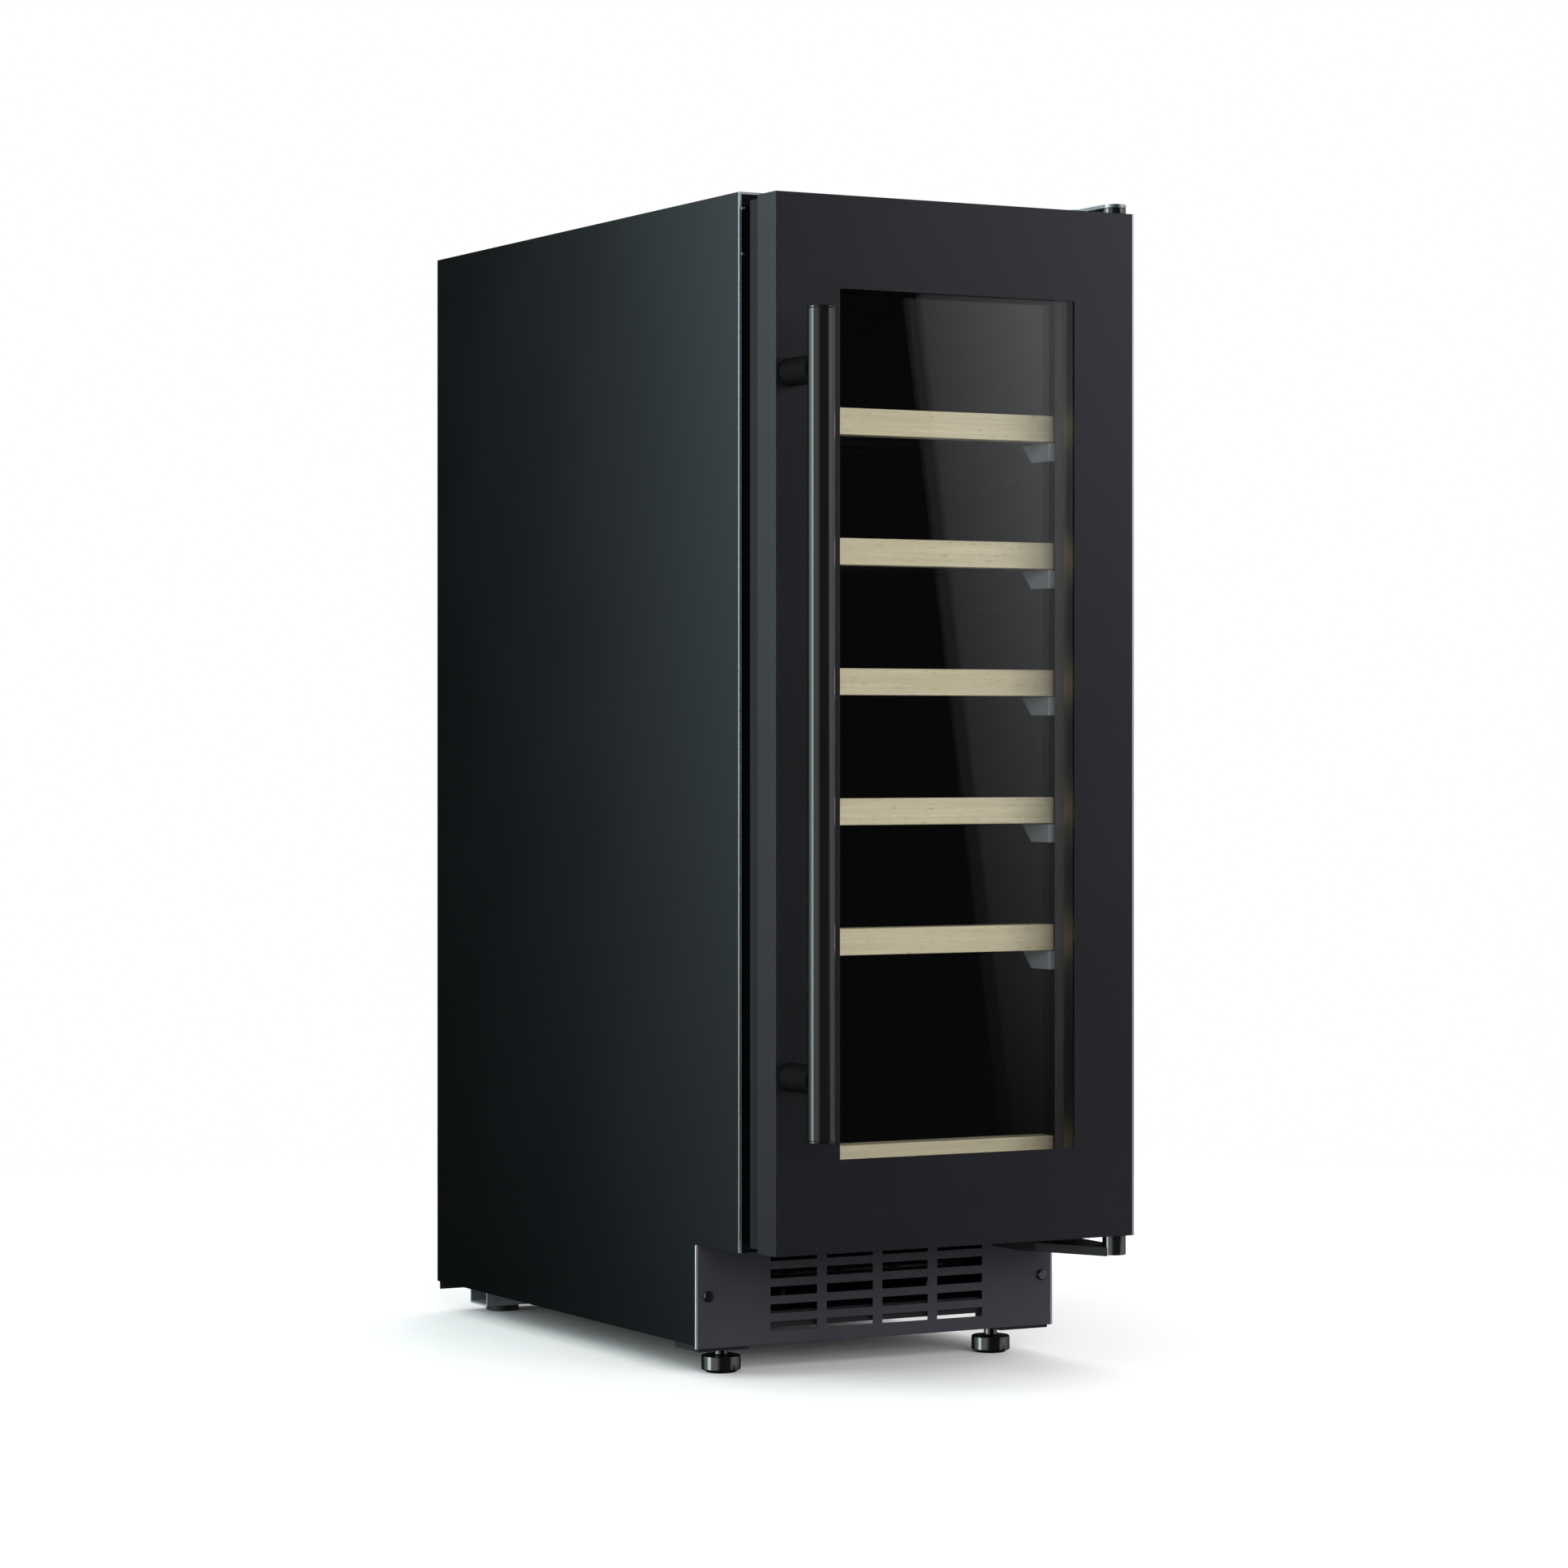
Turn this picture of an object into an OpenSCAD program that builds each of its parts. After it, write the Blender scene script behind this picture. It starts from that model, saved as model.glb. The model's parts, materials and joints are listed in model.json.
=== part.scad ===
// Undercounter wine cooler, 300 mm class.
// Millimetres, +Z up. The origin is under the middle of the cooler, on the floor.
// Inside the modules Y counts backwards from the front face of the door.

/* [Cabinet] */
// Width of the cabinet and the door
cabinet_w = 295; // [294:0.5:300]
// Depth from the front face of the door to the back
cabinet_d = 570; // [565:1:600]
// Height of the top panel above the floor
cabinet_top = 843; // [843:1:850]
// Height of the bottom edge of the side panels above the floor
skirt_z = 23.3; // [22:0.1:24]
// Thickness of the sheet steel
sheet_t = 0.8; // [0.6:0.1:1.0]
// Width of the folded edge around the front of the casing
fold_w = 16; // [14:1:18]
// Depth of the foot recess behind the cabinet front
recess_d = 61.7; // [58:0.1:64]
// Height of the foot recess above the floor
recess_z = 96.6; // [96:0.1:97]

/* [Door] */
// Height of the door's bottom edge above the floor
door_z = 99; // [99:0.5:100]
// Height of the door
door_h = 739; // [736:1:739]
// Depth of the returned edge of the door's front frame
door_wrap_d = 26.7; // [24:0.1:28]
// Depth of the door from its front face to the back of its inner frame
door_d = 42; // [40:0.5:42]
// Width of the door frame beside the window
border_side = 51; // [48:1:54]
// Width of the door frame above and below the window
border_end = 65.4; // [62:0.1:68]
// Thickness of each glass pane
pane_t = 4; // [3:0.5:4]
// Gap between the two panes
pane_gap = 12; // [10:1:12]
// Distance of the hinge axis from the side of the door
pivot_inset = 8.5; // [8:0.5:9]
// Distance of the hinge axis behind the front face of the door
pivot_y = 13.5; // [12:0.5:14]

/* [Handle] */
// Diameter of the handle tube
handle_dia = 19; // [17:0.5:20]
// Length of the handle tube
handle_len = 571; // [540:1:600]
// Height of the handle's lower end above the floor
handle_z = 182.5; // [170:0.5:190]
// Distance from the door to the axis of the handle tube
handle_out = 43; // [38:1:46]
// Distance of the handle from the side of the door
handle_inset = 12; // [11:0.5:14]
// Diameter of the handle posts
post_dia = 20; // [18:0.5:21]
// Distance of each post from the end of the handle
post_inset = 41; // [36:1:48]

/* [Shelves] */
// Width of a shelf front
shelf_w = 230; // [226:1:232]
// Height of a shelf front
shelf_h = 19.2; // [18:0.2:20]
// Depth of a shelf
shelf_d = 402; // [380:1:404]
// Height of the top shelf above the floor
top_shelf_z = 694.5; // [690:0.5:696]
// Distance between neighbouring shelves
shelf_pitch = 92.9; // [91:0.1:93]
// Height of the lowest shelf above the floor
low_shelf_z = 168.3; // [167:0.1:170]
// Depth of the lowest shelf, in front of the step in the liner
low_shelf_d = 312; // [290:1:313]

/* [Kick plate] */
// Width of the kick plate, which fills the whole slot that the cooler stands in
kick_w = 300; // [295:1:300]
// Thickness of the kick plate
kick_t = 1.2; // [1.0:0.1:1.5]
// Height of the bottom edge of the kick plate above the floor
kick_z = 21.4; // [20:0.1:22]
// Width of one slot
slot_w = 38.5; // [34:0.5:40]
// Height of one slot
slot_h = 6.3; // [5:0.1:7]
// Distance between neighbouring rows of slots
slot_pitch = 12.6; // [12:0.1:13]

/* [Feet] */
// Diameter of a front foot
foot_dia = 28.5; // [26:0.5:30]
// Height of the disc of a front foot
foot_h = 12.5; // [11:0.5:13]
// Diameter of the stud of a front foot
stud_dia = 10; // [8:0.5:10]
// Distance of the front feet from the middle of the cabinet
foot_x = 114; // [110:1:118]

/* [Hidden] */
$fn = 48;

eps = 0.1;
run_gap = 0.4; // between a moving piece and what it passes
fit_gap = 0.05; // radial, between a shaft and its hole
half_w = cabinet_w / 2;
screw_dia = 4;
screw_hole = 4.2;
screw_head_dia = 8;
screw_space = 5; // bore in the foam around a screw

// Door
handle_front = handle_out + handle_dia / 2;
handle_wall = 1.5;
door_front_y = (handle_front - cabinet_d) / 2; // where the door's front face stands
door_top = door_z + door_h;
door_sheet_t = 1.2;
window_x = half_w - border_side;
window_z0 = door_z + border_end;
window_z1 = door_top - border_end;
pane_grip = 13.5; // how far the panes reach behind the front frame
pane_x = window_x + pane_grip;
inner_reveal = 9.5; // how much wider the inner frame's opening is than the window, each side
unit_back = door_sheet_t + 2 * pane_t + pane_gap;
spacer_w = 11.5;
gasket_d = 11.4;
gasket_x = half_w - 8.5;
gasket_w = 20;
inner_frame_inset = 2;
pivot_x = half_w - pivot_inset;
pin_dia = 8;
pin_len = 20; // how far a hinge pin reaches into the door
bush_dia = 14;
collar_dia = 17;
top_plate_t = 2.5;
arm_t = 6.5;
arm_z = 83.5; // underside of the bottom hinge's arm
arm_end = 0.8; // how far the arm reaches below the collar at its end
handle_screw_dia = 5;

// Cabinet
cab_y = door_d + gasket_d + run_gap;
recess_y = cab_y + recess_d;
inner_x = half_w - sheet_t;
liner_t = 1.5;
liner_x = 117.5;
liner_floor = 141;
liner_ceiling = 796;
liner_back = 522;
step_y = 384; // where the liner steps up over the compressor
step_z = 286;
bay_y = step_y + 42;
bay_top = step_z - 42;
pan_z = 44;
pan_t = 1;
pan_y = recess_y + 4; // front edge of the base pan
pan_lip_z = 33.2; // bottom of the lip along that edge
rear_y = cabinet_d - 3; // outer face of the rear panel, set in from the casing's back edge
rear_in = rear_y - sheet_t;
rear_bottom = 17; // bottom edge of the rear grille
upper_screw_z = [bay_top + 12, 500, cabinet_top - 14];
lower_screw_z = [rear_bottom + 45, bay_top - 30];
kick_screw_x = half_w - 7.5;
kick_screw_z = 59;

// Feet
bracket_z = 19.2;
bracket_x = foot_x - 8; // inner side of a foot bracket
foot_y = recess_y + 29.5;
foot_step = 1.8; // height of the narrower base of a front foot
foot_len = 60;
rear_foot_x = 100;
rear_foot_y = 548;
rear_foot_h = 5;
rear_stem_dia = 8;

// Shelves
shelf_y = cab_y + 3.2;
front_t = 18;
rack_x = 115;
side_wire_dia = 6;
cross_wire_dia = 5;
cross_wire_count = 5;
cradle_wire_dia = 4;
cradle_x = 53; // middle of a bottle's place
cradle_reach = 20; // from there to each of its two wires
weld_gap = 0.05; // between two wires that are welded together
runner_w = 6.5;
runner_h = 30;
shelf_z = [for (i = [0:4]) top_shelf_z - i * shelf_pitch, low_shelf_z];
shelf_len = [for (i = [0:4]) shelf_d, low_shelf_d];

// Fans: [centre x, front y, centre z, size, depth, blades]
evaporator_fan = [0, 482, 700, 92, 25, 7];
condenser_fan = [72, bay_y + 8, 132, 120, 32, 5];
fan_shaft_dia = 4;
fan_hub = 0.36; // the hub's share of the frame's size

// Hot side
compressor_x = -62;
compressor_y = bay_y + 76;
compressor_z = pan_z + pan_t + 14;
compressor_r = 52;
compressor_h = 132;
base_plate = [132, 92, 3];
mount_core_d = 12;
mount_h = compressor_z - base_plate[2] - pan_z - pan_t;
pipe_dia = 6;
suction_x = compressor_x + 20;
suction_y = compressor_y - 14;
suction_z = compressor_z + compressor_h + 11;
drier_x = 16;
drier_y = compressor_y + 40;
drier_z = pan_z + 40;
drier_len = 88;
drier_r = 9;

// Controls, light and power
control_y = 74;
control_z = liner_ceiling - 15;
control_half = 62; // half the housing's width
control_d = 78;
panel_half = 52; // half the width of the recess for the touch panel
light_y = 166;
inlet_x = 96;
inlet_z = 72;
inlet_w = 28;
inlet_h = 20;
socket = [24, 16, 16]; // width, depth and height of the inlet's socket

// A box from its lowest corner to its highest
module block(lo, hi) translate(lo) cube(hi - lo);

// Everything is drawn from the door's front face and then centred front to back
module placed() translate([0, door_front_y, 0]) children();

// The same shape on both sides of the middle plane
module both_sides() {
    children();
    mirror([1, 0, 0]) children();
}

// A rectangular ring that faces the front
module ring(x, z0, z1, y0, y1, hole_x, hole_z0, hole_z1) {
    difference() {
        block([-x, y0, z0], [x, y1, z1]);
        block([-hole_x, y0 - eps, hole_z0], [hole_x, y1 + eps, hole_z1]);
    }
}

// An outline in the Y-Z plane, extruded to the same distance on both sides
module across(x, outline) {
    translate([-x, 0, 0]) rotate([90, 0, 90]) linear_extrude(2 * x) polygon(outline);
}

// A rod along Y, with its front end at the given point
module rod_y(at, d, len) translate(at) rotate([-90, 0, 0]) cylinder(d = d, h = len);

// A rod along X, with its left end at the given point
module rod_x(at, d, len) translate(at) rotate([0, 90, 0]) cylinder(d = d, h = len);

// A rod along Z, with its lower end at the given point
module rod_z(at, d, len) translate(at) cylinder(d = d, h = len);

// A pan-head screw along Y, with the underside of its head at the origin
module panel_screw() {
    head_h = 2.4;
    shank = 12;
    rod_y([0, -head_h, 0], screw_head_dia, head_h);
    rod_y([0, -head_h, 0], screw_dia, head_h + shank);
}

// Outline of the liner's cavity seen from the side, grown by t
function cavity(t, front) = [
    [front, liner_floor - t], [step_y + t, liner_floor - t], [step_y + t, step_z - t],
    [liner_back + t, step_z - t], [liner_back + t, liner_ceiling + t],
    [front, liner_ceiling + t]];

// Cabinet

module casing_folds() {
    both_sides() {
        block([inner_x - fold_w, cab_y, recess_z], [half_w, cab_y + sheet_t, cabinet_top]);
        block([inner_x - fold_w, recess_y + kick_t, skirt_z],
            [half_w, recess_y + kick_t + sheet_t, recess_z]);
    }
    block([-half_w, cab_y, cabinet_top - fold_w], [half_w, cab_y + sheet_t, cabinet_top]);
}

module outer_casing() {
    color("#22292b") placed() difference() {
        union() {
            difference() {
                block([-half_w, cab_y, skirt_z], [half_w, cabinet_d, cabinet_top]);
                block([-inner_x, cab_y - eps, skirt_z - eps],
                    [inner_x, cabinet_d + eps, cabinet_top - sheet_t]);
                block([-half_w - eps, cab_y - eps, skirt_z - eps],
                    [half_w + eps, recess_y + kick_t, recess_z]);
            }
            casing_folds();
        }
        kick_screw_holes();
        top_screw_places() rod_z([0, 0, -sheet_t - eps], screw_hole, 5);
    }
}

// Rods along Y at the screws around the rear panel or the rear grille
module rear_screw_places(heights) {
    both_sides() for (z = heights) translate([half_w - 12, rear_y, z]) children();
}

module rear_panel() {
    color("#1a1d1f") placed() difference() {
        block([-inner_x, rear_in, bay_top], [inner_x, rear_y, cabinet_top - sheet_t]);
        rear_screw_places(upper_screw_z) rod_y([0, -3, 0], screw_hole, 4);
    }
}

module rear_grille() {
    rows = 9;
    row_pitch = 14;
    first_row_z = 96;
    slot = [62, 6];
    color("#1a1d1f") placed() difference() {
        block([-inner_x, rear_in, rear_bottom], [inner_x, rear_y, bay_top]);
        rear_screw_places(lower_screw_z) rod_y([0, -3, 0], screw_hole, 4);
        for (row = [0:rows - 1], x = [-110, -35, 40]) {
            z = first_row_z + row * row_pitch;
            block([x, rear_in - 1, z], [x + slot[0], rear_y + 1, z + slot[1]]);
        }
        block([inlet_x - inlet_w / 2, rear_in - 1, inlet_z - inlet_h / 2],
            [inlet_x + inlet_w / 2, rear_y + 1, inlet_z + inlet_h / 2]);
    }
}

// The rear panel, the rear grille and the kick plate are held by the same screws
module panel_screws() {
    color("#17181a") placed() {
        rear_screw_places(concat(upper_screw_z, lower_screw_z)) mirror([0, 1, 0]) panel_screw();
        both_sides() translate([kick_screw_x, recess_y, kick_screw_z]) panel_screw();
    }
}

// Rails on the liner's side walls that carry the shelves
module shelf_runners() {
    color("#9a9ea1") placed() intersection() {
        both_sides() for (i = [0:5]) {
            top = shelf_z[i] - shelf_h - run_gap;
            block([liner_x - runner_w, shelf_y + 1, top - runner_h],
                [liner_x, shelf_y + shelf_len[i] - 6, top]);
        }
        across(liner_x, cavity(-eps, cab_y));
    }
}

module inner_liner() {
    color("#101113") placed() {
        difference() {
            across(liner_x + liner_t, cavity(liner_t, cab_y));
            across(liner_x, cavity(0, cab_y - eps));
        }
        ring(inner_x - fold_w, recess_z + sheet_t, cabinet_top - fold_w, cab_y, cab_y + liner_t,
            liner_x, liner_floor, liner_ceiling);
    }
}

module insulation_foam() {
    color("#d8c690") placed() difference() {
        block([-inner_x, cab_y + liner_t, recess_z + sheet_t],
            [inner_x, rear_in, cabinet_top - sheet_t]);
        across(liner_x + liner_t, cavity(liner_t, cab_y));
        block([-half_w, bay_y - sheet_t, recess_z], [half_w, cabinet_d, bay_top + sheet_t]);
        top_screw_places() rod_z([0, 0, -13], screw_space, 20);
        bottom_screw_places() rod_z([0, 0, 0], screw_space, 12);
        rear_screw_places(upper_screw_z) rod_y([0, -13, 0], screw_space, 16);
        rod_z([suction_x, suction_y, bay_top], pipe_dia + 1, 14);
    }
}

module bay_plate() {
    outline = [
        [cab_y + sheet_t, recess_z], [bay_y, recess_z], [bay_y, bay_top], [rear_in, bay_top],
        [rear_in, bay_top + sheet_t], [bay_y - sheet_t, bay_top + sheet_t],
        [bay_y - sheet_t, recess_z + sheet_t], [cab_y + sheet_t, recess_z + sheet_t]];
    color("#8b9193") placed() difference() {
        across(inner_x, outline);
        bottom_screw_places() rod_z([0, 0, -eps], screw_hole, 5);
        rod_z([suction_x, suction_y, bay_top - 2], pipe_dia + 1, 6);
    }
}

// The pan has a lip along its front edge, between the foot brackets, and a fold up each side
module base_pan() {
    fold_y = recess_y + 50;
    fold_h = 16;
    lip_x = bracket_x - 1;
    color("#1a1d1f") placed() difference() {
        union() {
            block([-inner_x, pan_y, pan_z], [inner_x, rear_in, pan_z + pan_t]);
            block([-lip_x, pan_y, pan_lip_z], [lip_x, pan_y + pan_t, pan_z + pan_t]);
            both_sides() block([inner_x - pan_t, fold_y, pan_z], [inner_x, rear_in, pan_z + fold_h]);
        }
        both_sides() rod_z([foot_x, foot_y, pan_z - eps], stud_dia + 3, 3);
        mount_places() cylinder(d = mount_core_d, h = 30, center = true);
    }
}

// An open channel that stands on the rear feet and carries the base pan
module rear_rail() {
    rail_x = 121;
    rail_y = [532, 564];
    rail_t = 1.5;
    outline = [
        [rail_y[0], rear_foot_h], [rail_y[1], rear_foot_h], [rail_y[1], pan_z],
        [rail_y[1] - rail_t, pan_z], [rail_y[1] - rail_t, rear_foot_h + rail_t],
        [rail_y[0] + rail_t, rear_foot_h + rail_t], [rail_y[0] + rail_t, pan_z],
        [rail_y[0], pan_z]];
    color("#7d8486") placed() difference() {
        across(rail_x, outline);
        both_sides() rod_z([rear_foot_x, rear_foot_y, rear_foot_h - 1], rear_stem_dia, 4);
    }
}

// A pad below the rail, a stem through it and a button above it
module rear_feet() {
    pad_dia = 26;
    button_z = 6.5;
    button = [12, 3.5];
    color("#151515") placed() both_sides() translate([rear_foot_x, rear_foot_y, 0]) {
        cylinder(d = pad_dia, h = rear_foot_h);
        cylinder(d = rear_stem_dia, h = button_z + button[1]);
        rod_z([0, 0, button_z], button[0], button[1]);
    }
}

module foot_brackets() {
    color("#0d0e0f") placed() difference() {
        both_sides() block([bracket_x, recess_y + kick_t + sheet_t, bracket_z],
            [inner_x, foot_y + 9, pan_z]);
        both_sides() rod_z([foot_x, foot_y, 0], stud_dia + 2 * fit_gap, pan_z + 1);
    }
}

module kick_screw_holes() {
    both_sides() rod_y([kick_screw_x, recess_y - 1, kick_screw_z], screw_hole, 20);
}

module kick_plate() {
    columns = 4;
    rows = 5;
    slot_rib = 8;
    slots_w = columns * slot_w + (columns - 1) * slot_rib;
    first_z = 34.4;
    color("#34343a") placed() difference() {
        block([-kick_w / 2, recess_y, kick_z], [kick_w / 2, recess_y + kick_t, recess_z - 0.2]);
        for (column = [0:columns - 1], row = [0:rows - 1]) {
            x = column * (slot_w + slot_rib) - slots_w / 2;
            z = first_z + row * slot_pitch - slot_h / 2;
            block([x, recess_y - 1, z], [x + slot_w, recess_y + kick_t + 1, z + slot_h]);
        }
        kick_screw_holes();
    }
}

// Hinges

module top_screw_places() {
    for (at = [[136, 72], [112, 90], [136, 108]]) translate([at[0], at[1], cabinet_top]) children();
}

module bottom_screw_places() {
    for (at = [[124, 66], [110, 98]]) translate([at[0], at[1], recess_z]) children();
}

module top_hinge_plate() {
    back = 118;
    side = pivot_x + collar_dia / 2;
    neck_x = side - collar_dia;
    outline = [
        [side, pivot_y], [side, back], [100, back], [100, 76], [neck_x, 50], [neck_x, pivot_y]];
    color("#a9adae") placed() difference() {
        union() {
            translate([0, 0, cabinet_top]) linear_extrude(top_plate_t) polygon(outline);
            rod_z([pivot_x, pivot_y, cabinet_top], collar_dia, top_plate_t);
        }
        rod_z([pivot_x, pivot_y, cabinet_top - 1], pin_dia, top_plate_t + 2);
        top_screw_places() rod_z([0, 0, -1], screw_hole, 5);
    }
}

// A thick arm, cut out at its end for the collar, and a seat under the cabinet
module bottom_hinge_plate() {
    seat_t = recess_z - arm_z;
    side = pivot_x + collar_dia / 2;
    outline = [
        [side, pivot_y], [side, 112], [95, 112], [95, 75], [side - collar_dia + 1, pivot_y - 4]];
    color("#8e9496") placed() difference() {
        union() {
            translate([0, 0, arm_z]) linear_extrude(arm_t) polygon(outline);
            block([102, 62, arm_z], [pivot_x - 4, 106, recess_z]);
        }
        rod_z([pivot_x, pivot_y, arm_z - 1], collar_dia + 2 * fit_gap, arm_t + 2);
        bottom_screw_places() rod_z([0, 0, -seat_t - 1], screw_hole, seat_t + 2);
    }
}

// The upper pin has a collar between its plate and the door, and the lower pin's collar is held
// in the end of the arm
module hinge_pins() {
    foot = arm_z + arm_end;
    color("#0c0c0d") placed() translate([pivot_x, pivot_y, 0]) {
        rod_z([0, 0, foot], pin_dia, door_z + pin_len - foot);
        rod_z([0, 0, foot], collar_dia, door_z - run_gap - foot);
        rod_z([0, 0, door_top - pin_len], pin_dia, cabinet_top + top_plate_t - door_top + pin_len);
        rod_z([0, 0, door_top + run_gap], collar_dia, cabinet_top - door_top - run_gap);
    }
}

module hinge_screws() {
    head_h = 1.6;
    top_len = 12;
    bottom_len = 20;
    color("#5d6163") placed() {
        top_screw_places() {
            rod_z([0, 0, -top_len], screw_dia, top_len + 2);
            rod_z([0, 0, top_plate_t], screw_head_dia, head_h);
        }
        bottom_screw_places() translate([0, 0, arm_z - recess_z]) {
            cylinder(d = screw_dia, h = bottom_len);
            rod_z([0, 0, -head_h], screw_head_dia, head_h);
        }
    }
}

// Hot side

module mount_places() {
    for (x = [-58, 58], y = [-38, 38])
        translate([compressor_x + x, compressor_y + y, pan_z]) children();
}

module compressor() {
    edge = 22;
    stub = suction_z - compressor_z - compressor_h + 3;
    color("#141516") placed() {
        translate([compressor_x, compressor_y, compressor_z]) rotate_extrude($fn = 64) {
            square([compressor_r - edge, compressor_h]);
            translate([0, edge]) square([compressor_r, compressor_h - 2 * edge]);
            for (z = [edge, compressor_h - edge]) translate([compressor_r - edge, z]) circle(edge);
        }
        difference() {
            translate([compressor_x - base_plate[0] / 2, compressor_y - base_plate[1] / 2,
                compressor_z - base_plate[2]]) cube(base_plate);
            mount_places() cylinder(d = mount_core_d, h = 30);
        }
        rod_z([suction_x, suction_y, suction_z - stub], pipe_dia, stub);
    }
}

module compressor_mounts() {
    mount_dia = 20;
    plate_top = pan_t + mount_h + base_plate[2];
    color("#1c1c1c") placed() mount_places() {
        rod_z([0, 0, pan_t], mount_dia, mount_h);
        rod_z([0, 0, -2], mount_core_d, plate_top + 3);
        rod_z([0, 0, plate_top], mount_dia - 2, 3);
    }
}

module relay_box() {
    size = [44, 30, 52];
    color("#2a2a2c") placed() difference() {
        translate([compressor_x - size[0] / 2, compressor_y - 68, compressor_z + 40]) cube(size);
        rod_z([compressor_x, compressor_y, compressor_z], 2 * compressor_r, compressor_h, $fn = 64);
    }
}

module condenser() {
    passes = 9;
    wires = 17;
    wire_dia = 2;
    leg = [4, 6];
    pitch = 28;
    y0 = recess_y + 32;
    span = 84;
    z = pan_z + 24;
    color("#1b1c1d") placed() {
        for (i = [0:passes - 1]) rod_x([-span, y0 + i * pitch, z], pipe_dia, 2 * span);
        for (i = [0:passes - 2]) {
            side = i % 2 == 0 ? 1 : -1;
            translate([side * span, y0 + (i + 0.5) * pitch, z]) rotate([0, 0, side > 0 ? -90 : 90])
                rotate_extrude(angle = 180) translate([pitch / 2, 0]) circle(d = pipe_dia);
        }
        for (i = [0:wires - 1])
            rod_y([(i - (wires - 1) / 2) * 10, y0 - 4, z + 3.4], wire_dia, (passes - 1) * pitch + 8);
        both_sides() for (y = [y0, y0 + 196])
            translate([60, y, pan_z + pan_t]) cube([leg[0], leg[1], z - 1 - pan_z - pan_t]);
    }
}

// A square fan frame with its motor on struts; the shaft points to the front
module fan_frame(fan) {
    size = fan[3];
    depth = fan[4];
    bore = size - 6;
    hub = size * fan_hub;
    strut = [2.5, 3]; // half its width, and its depth
    hole_at = size / 2 - 5;
    translate([fan[0], fan[1], fan[2]]) {
        difference() {
            block([-size / 2, 0, -size / 2], [size / 2, depth, size / 2]);
            rod_y([0, -eps, 0], bore, depth + 1);
            for (x = [-hole_at, hole_at], z = [-hole_at, hole_at])
                rod_y([x, -eps, z], screw_hole, depth + 1);
        }
        rod_y([0, depth - 6, 0], hub, 6);
        rod_y([0, depth - 18, 0], fan_shaft_dia, 14);
        difference() {
            for (turn = [45, 135]) rotate([0, turn, 0])
                block([-bore / 2 - 1, depth - strut[1], -strut[0]], [bore / 2 + 1, depth, strut[0]]);
            rod_y([0, depth - 7, 0], hub - 1, 5);
        }
    }
}

// A fan rotor: a hub on the motor shaft and pitched blades
module fan_rotor(fan) {
    reach = fan[3] / 2 - 5.5;
    depth = fan[4];
    hub = fan[3] * fan_hub;
    hub_h = depth - 8;
    blade_t = 1.6;
    blade_h = 28;
    pitch_angle = 38;
    translate([fan[0], fan[1], fan[2]]) difference() {
        union() {
            rod_y([0, 1, 0], hub, hub_h);
            intersection() {
                rod_y([0, 1.5, 0], 2 * reach, hub_h - 1);
                for (i = [0:fan[5] - 1]) rotate([0, i * 360 / fan[5], 0])
                    translate([hub / 2 - 2, depth / 2 - 3, 0]) rotate([pitch_angle, 0, 0])
                        translate([0, -blade_t / 2, -blade_h / 2]) cube([reach, blade_t, blade_h]);
            }
        }
        rod_y([0, depth - 19, 0], fan_shaft_dia + 2 * fit_gap, depth);
    }
}

module condenser_fan_frame() {
    color("#1a1a1b") placed() {
        fan_frame(condenser_fan);
        both_sides_of(condenser_fan[0]) block([44, condenser_fan[1], pan_z + pan_t],
            [56, condenser_fan[1] + 6, condenser_fan[2] - condenser_fan[3] / 2 + eps]);
    }
}

// The same shape on both sides of a plane at x
module both_sides_of(x) translate([x, 0, 0]) both_sides() children();

module condenser_fan_rotor() color("#2b2c2e") placed() fan_rotor(condenser_fan);

module drip_tray() {
    wall = 2;
    size = [78, 68, 18];
    lo = [compressor_x - 70, compressor_y - 8, compressor_z + compressor_h];
    hi = lo + size;
    color("#25272a") placed() difference() {
        block(lo, hi);
        block(lo + [wall, wall, wall], hi + [-wall, -wall, 1]);
    }
}

// A drum with a cone and a stub of pipe at each end
module filter_drier() {
    r = pipe_dia / 2;
    stub = 8;
    cone = 16;
    len = drier_len;
    color("#a2673f") placed() translate([drier_x, drier_y, drier_z]) rotate_extrude()
        polygon([[0, 0], [r, 0], [r, stub], [drier_r, cone], [drier_r, len - cone - 2],
            [r, len - stub - 2], [r, len], [0, len]]);
}

module refrigerant_pipes() {
    color("#a2673f") placed() {
        rod_z([suction_x, suction_y, suction_z], pipe_dia, bay_top + 12 - suction_z);
        rod_z([drier_x, drier_y, drier_z + drier_len], pipe_dia, bay_top - drier_z - drier_len);
        rod_z([drier_x, drier_y, drier_z - 34], pipe_dia, 34);
    }
}

// Cold side

module evaporator() {
    fins = 19;
    fin_pitch = 9;
    fin_half = 0.4; // half a fin's thickness
    fin_y = [486, 516];
    fin_z = [330, 590];
    tube_dia = 8;
    end_x = [88, 89.5];
    color("#b9bec0") placed() {
        for (i = [0:fins - 1]) {
            x = (i - (fins - 1) / 2) * fin_pitch;
            block([x - fin_half, fin_y[0], fin_z[0]], [x + fin_half, fin_y[1], fin_z[1]]);
        }
        for (row = [0:6], y = [494, 508]) rod_x([-92, y, fin_z[0] + 20 + row * 36], tube_dia, 184);
        both_sides() block([end_x[0], fin_y[0] - 2, fin_z[0] - 2], [end_x[1], fin_y[1] + 2, fin_z[1] + 2]);
    }
}

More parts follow.
